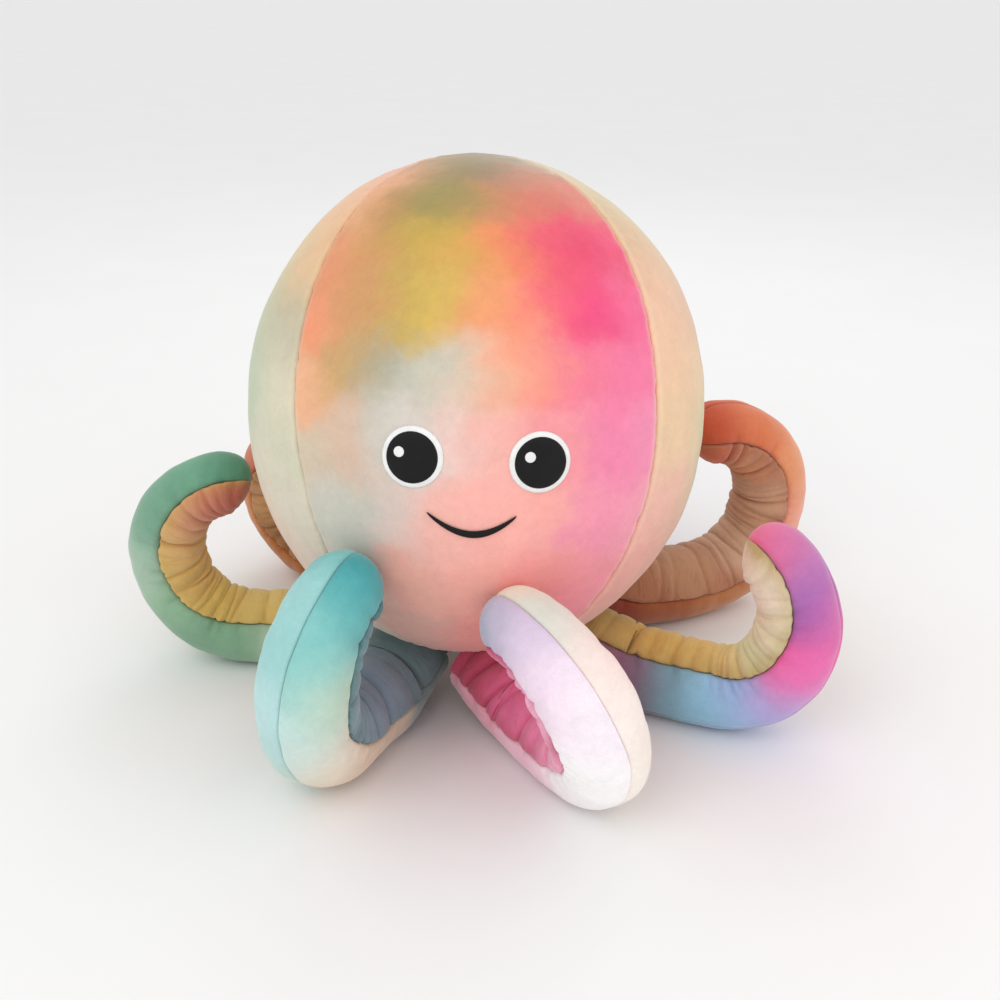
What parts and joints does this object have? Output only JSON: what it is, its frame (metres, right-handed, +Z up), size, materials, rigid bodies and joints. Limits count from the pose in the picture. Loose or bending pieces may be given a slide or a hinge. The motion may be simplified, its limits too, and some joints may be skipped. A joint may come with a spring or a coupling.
{
  "type": "stuffed octopus toy",
  "caption": "Stuffed octopus toy: a sewn ball head with felt eyes and a smile, on curled arms with gathered inner bands that hinge where they are sewn on.",
  "frame": {"origin": "middle of the toy's outline on the surface it stands on, so the middle of its bounding box at the base", "axes": "+X to the right as one looks at the face, +Y from the face to the back of the head, +Z up"},
  "size_m": [0.3876, 0.3682, 0.2826],
  "materials": {
    "head_front_gore": "matte",
    "head_left_gore": "matte",
    "head_right_gore": "matte",
    "head_back_gore": "matte",
    "head_base_patch": "matte",
    "stuffing": "matte",
    "felt_white": "matte",
    "felt_black": "matte",
    "elastic": "matte",
    "arm_front_left_outer": "matte",
    "arm_front_left_inner": "matte",
    "arm_front_right_outer": "matte",
    "arm_front_right_inner": "matte",
    "arm_right_front_outer": "matte",
    "arm_right_front_inner": "matte",
    "arm_right_rear_outer": "matte",
    "arm_right_rear_inner": "matte",
    "arm_rear_right_outer": "matte",
    "arm_rear_right_inner": "matte",
    "arm_rear_left_outer": "matte",
    "arm_rear_left_inner": "matte",
    "arm_left_rear_outer": "matte",
    "arm_left_rear_inner": "matte",
    "arm_left_front_outer": "matte",
    "arm_left_front_inner": "matte"
  },
  "bodies": {
    "head": {"head_front_gore": "head_front_gore", "head_left_gore": "head_left_gore", "head_right_gore": "head_right_gore", "head_back_gore": "head_back_gore", "head_base_patch": "head_base_patch", "head_stuffing": "stuffing", "eye_border_left": "felt_white", "eye_border_right": "felt_white", "eye_disc_left": "felt_black", "eye_disc_right": "felt_black", "smile": "felt_black"},
    "arm_front_left": {"arm_front_left_outer_left": "arm_front_left_outer", "arm_front_left_outer_right": "arm_front_left_outer", "arm_front_left_inner_band": "arm_front_left_inner", "arm_front_left_elastic": "elastic", "arm_front_left_stuffing_root": "stuffing"},
    "arm_front_left_tip": {"arm_front_left_stuffing_tip": "stuffing"},
    "arm_front_right": {"arm_front_right_outer_left": "arm_front_right_outer", "arm_front_right_outer_right": "arm_front_right_outer", "arm_front_right_inner_band": "arm_front_right_inner", "arm_front_right_elastic": "elastic", "arm_front_right_stuffing_root": "stuffing"},
    "arm_front_right_tip": {"arm_front_right_stuffing_tip": "stuffing"},
    "arm_right_front": {"arm_right_front_outer_left": "arm_right_front_outer", "arm_right_front_outer_right": "arm_right_front_outer", "arm_right_front_inner_band": "arm_right_front_inner", "arm_right_front_elastic": "elastic", "arm_right_front_stuffing_root": "stuffing"},
    "arm_right_front_tip": {"arm_right_front_stuffing_tip": "stuffing"},
    "arm_right_rear": {"arm_right_rear_outer_left": "arm_right_rear_outer", "arm_right_rear_outer_right": "arm_right_rear_outer", "arm_right_rear_inner_band": "arm_right_rear_inner", "arm_right_rear_elastic": "elastic", "arm_right_rear_stuffing_root": "stuffing"},
    "arm_right_rear_tip": {"arm_right_rear_stuffing_tip": "stuffing"},
    "arm_rear_right": {"arm_rear_right_outer_left": "arm_rear_right_outer", "arm_rear_right_outer_right": "arm_rear_right_outer", "arm_rear_right_inner_band": "arm_rear_right_inner", "arm_rear_right_elastic": "elastic", "arm_rear_right_stuffing_root": "stuffing"},
    "arm_rear_right_tip": {"arm_rear_right_stuffing_tip": "stuffing"},
    "arm_rear_left": {"arm_rear_left_outer_left": "arm_rear_left_outer", "arm_rear_left_outer_right": "arm_rear_left_outer", "arm_rear_left_inner_band": "arm_rear_left_inner", "arm_rear_left_elastic": "elastic", "arm_rear_left_stuffing_root": "stuffing"},
    "arm_rear_left_tip": {"arm_rear_left_stuffing_tip": "stuffing"},
    "arm_left_rear": {"arm_left_rear_outer_left": "arm_left_rear_outer", "arm_left_rear_outer_right": "arm_left_rear_outer", "arm_left_rear_inner_band": "arm_left_rear_inner", "arm_left_rear_elastic": "elastic", "arm_left_rear_stuffing_root": "stuffing"},
    "arm_left_rear_tip": {"arm_left_rear_stuffing_tip": "stuffing"},
    "arm_left_front": {"arm_left_front_outer_left": "arm_left_front_outer", "arm_left_front_outer_right": "arm_left_front_outer", "arm_left_front_inner_band": "arm_left_front_inner", "arm_left_front_elastic": "elastic", "arm_left_front_stuffing_root": "stuffing"},
    "arm_left_front_tip": {"arm_left_front_stuffing_tip": "stuffing"}
  },
  "joints": [
    {"name": "arm_front_left_root", "type": "hinge", "parent": "head", "child": "arm_front_left", "pos_m": [-0.04868, -0.06308, 0.04665], "axis": [0.8949, -0.4462, 0], "range_deg": [0, 35], "stiffness_Nm_per_rad": 0.15, "springref_deg": -11.46},
    {"name": "arm_front_left_curl", "type": "hinge", "parent": "arm_front_left", "child": "arm_front_left_tip", "pos_m": [-0.09218, -0.16202, 0.05501], "axis": [0.8839, -0.4407, -0.1564], "range_deg": [0, 60], "stiffness_Nm_per_rad": 0.06, "springref_deg": -17.19, "deforming": ["arm_front_left_outer_left", "arm_front_left_outer_right", "arm_front_left_inner_band", "arm_front_left_elastic"]},
    {"name": "arm_front_right_root", "type": "hinge", "parent": "head", "child": "arm_front_right", "pos_m": [0.01069, -0.07781, 0.04685], "axis": [0.8434, 0.5373, 0], "range_deg": [0, 35], "stiffness_Nm_per_rad": 0.15, "springref_deg": -11.46},
    {"name": "arm_front_right_curl", "type": "hinge", "parent": "arm_front_right", "child": "arm_front_right_tip", "pos_m": [0.06206, -0.1757, 0.04773], "axis": [0.7874, 0.5016, 0.3584], "range_deg": [0, 60], "stiffness_Nm_per_rad": 0.06, "springref_deg": -17.19, "deforming": ["arm_front_right_outer_left", "arm_front_right_outer_right", "arm_front_right_inner_band", "arm_front_right_elastic"]},
    {"name": "arm_right_front_root", "type": "hinge", "parent": "head", "child": "arm_right_front", "pos_m": [0.05695, -0.04294, 0.04792], "axis": [0.4067, 0.9135, 0], "range_deg": [0, 35], "stiffness_Nm_per_rad": 0.15, "springref_deg": -11.46},
    {"name": "arm_right_front_curl", "type": "hinge", "parent": "arm_right_front", "child": "arm_right_front_tip", "pos_m": [0.17099, -0.09549, 0.0559], "axis": [0.4062, 0.9123, 0.0523], "range_deg": [0, 60], "stiffness_Nm_per_rad": 0.06, "springref_deg": -17.19, "deforming": ["arm_right_front_outer_left", "arm_right_front_outer_right", "arm_right_front_inner_band", "arm_right_front_elastic"]},
    {"name": "arm_right_rear_root", "type": "hinge", "parent": "head", "child": "arm_right_rear", "pos_m": [0.06205, 0.0213, 0.05159], "axis": [-0.3746, 0.9272, 0], "range_deg": [0, 35], "stiffness_Nm_per_rad": 0.15, "springref_deg": -11.46},
    {"name": "arm_right_rear_curl", "type": "hinge", "parent": "arm_right_rear", "child": "arm_right_rear_tip", "pos_m": [0.1902, 0.072, 0.05726], "axis": [-0.3744, 0.9266, 0.0349], "range_deg": [0, 60], "stiffness_Nm_per_rad": 0.06, "springref_deg": -17.19, "deforming": ["arm_right_rear_outer_left", "arm_right_rear_outer_right", "arm_right_rear_inner_band", "arm_right_rear_elastic"]},
    {"name": "arm_rear_right_root", "type": "hinge", "parent": "head", "child": "arm_rear_right", "pos_m": [0.02788, 0.05874, 0.05339], "axis": [-0.891, 0.454, 0], "range_deg": [0, 35], "stiffness_Nm_per_rad": 0.15, "springref_deg": -11.46},
    {"name": "arm_rear_right_curl", "type": "hinge", "parent": "arm_rear_right", "child": "arm_rear_right_tip", "pos_m": [0.08368, 0.16826, 0.05188], "axis": [-0.891, 0.454, 0], "range_deg": [0, 60], "stiffness_Nm_per_rad": 0.06, "springref_deg": -17.19, "deforming": ["arm_rear_right_outer_left", "arm_rear_right_outer_right", "arm_rear_right_inner_band", "arm_rear_right_elastic"]},
    {"name": "arm_rear_left_root", "type": "hinge", "parent": "head", "child": "arm_rear_left", "pos_m": [-0.01855, 0.06526, 0.05367], "axis": [-0.9816, -0.1908, 0], "range_deg": [0, 35], "stiffness_Nm_per_rad": 0.15, "springref_deg": -11.46},
    {"name": "arm_rear_left_curl", "type": "hinge", "parent": "arm_rear_left", "child": "arm_rear_left_tip", "pos_m": [-0.04124, 0.18197, 0.05051], "axis": [-0.9816, -0.1908, 0], "range_deg": [0, 60], "stiffness_Nm_per_rad": 0.06, "springref_deg": -17.19, "deforming": ["arm_rear_left_outer_left", "arm_rear_left_outer_right", "arm_rear_left_inner_band", "arm_rear_left_elastic"]},
    {"name": "arm_left_rear_root", "type": "hinge", "parent": "head", "child": "arm_left_rear", "pos_m": [-0.05745, 0.04359, 0.05264], "axis": [-0.6428, -0.766, 0], "range_deg": [0, 35], "stiffness_Nm_per_rad": 0.15, "springref_deg": -11.46},
    {"name": "arm_left_rear_curl", "type": "hinge", "parent": "arm_left_rear", "child": "arm_left_rear_tip", "pos_m": [-0.1465, 0.11432, 0.04658], "axis": [-0.6287, -0.7493, -0.2079], "range_deg": [0, 60], "stiffness_Nm_per_rad": 0.06, "springref_deg": -17.19, "deforming": ["arm_left_rear_outer_left", "arm_left_rear_outer_right", "arm_left_rear_inner_band", "arm_left_rear_elastic"]},
    {"name": "arm_left_front_root", "type": "hinge", "parent": "head", "child": "arm_left_front", "pos_m": [-0.07685, -0.00981, 0.04997], "axis": [-0.0349, -0.9994, 0], "range_deg": [0, 35], "stiffness_Nm_per_rad": 0.15, "springref_deg": -11.46},
    {"name": "arm_left_front_curl", "type": "hinge", "parent": "arm_left_front", "child": "arm_left_front_tip", "pos_m": [-0.19285, -0.00816, 0.05553], "axis": [-0.0348, -0.9956, -0.0872], "range_deg": [0, 60], "stiffness_Nm_per_rad": 0.06, "springref_deg": -17.19, "deforming": ["arm_left_front_outer_left", "arm_left_front_outer_right", "arm_left_front_inner_band", "arm_left_front_elastic"]}
  ]
}
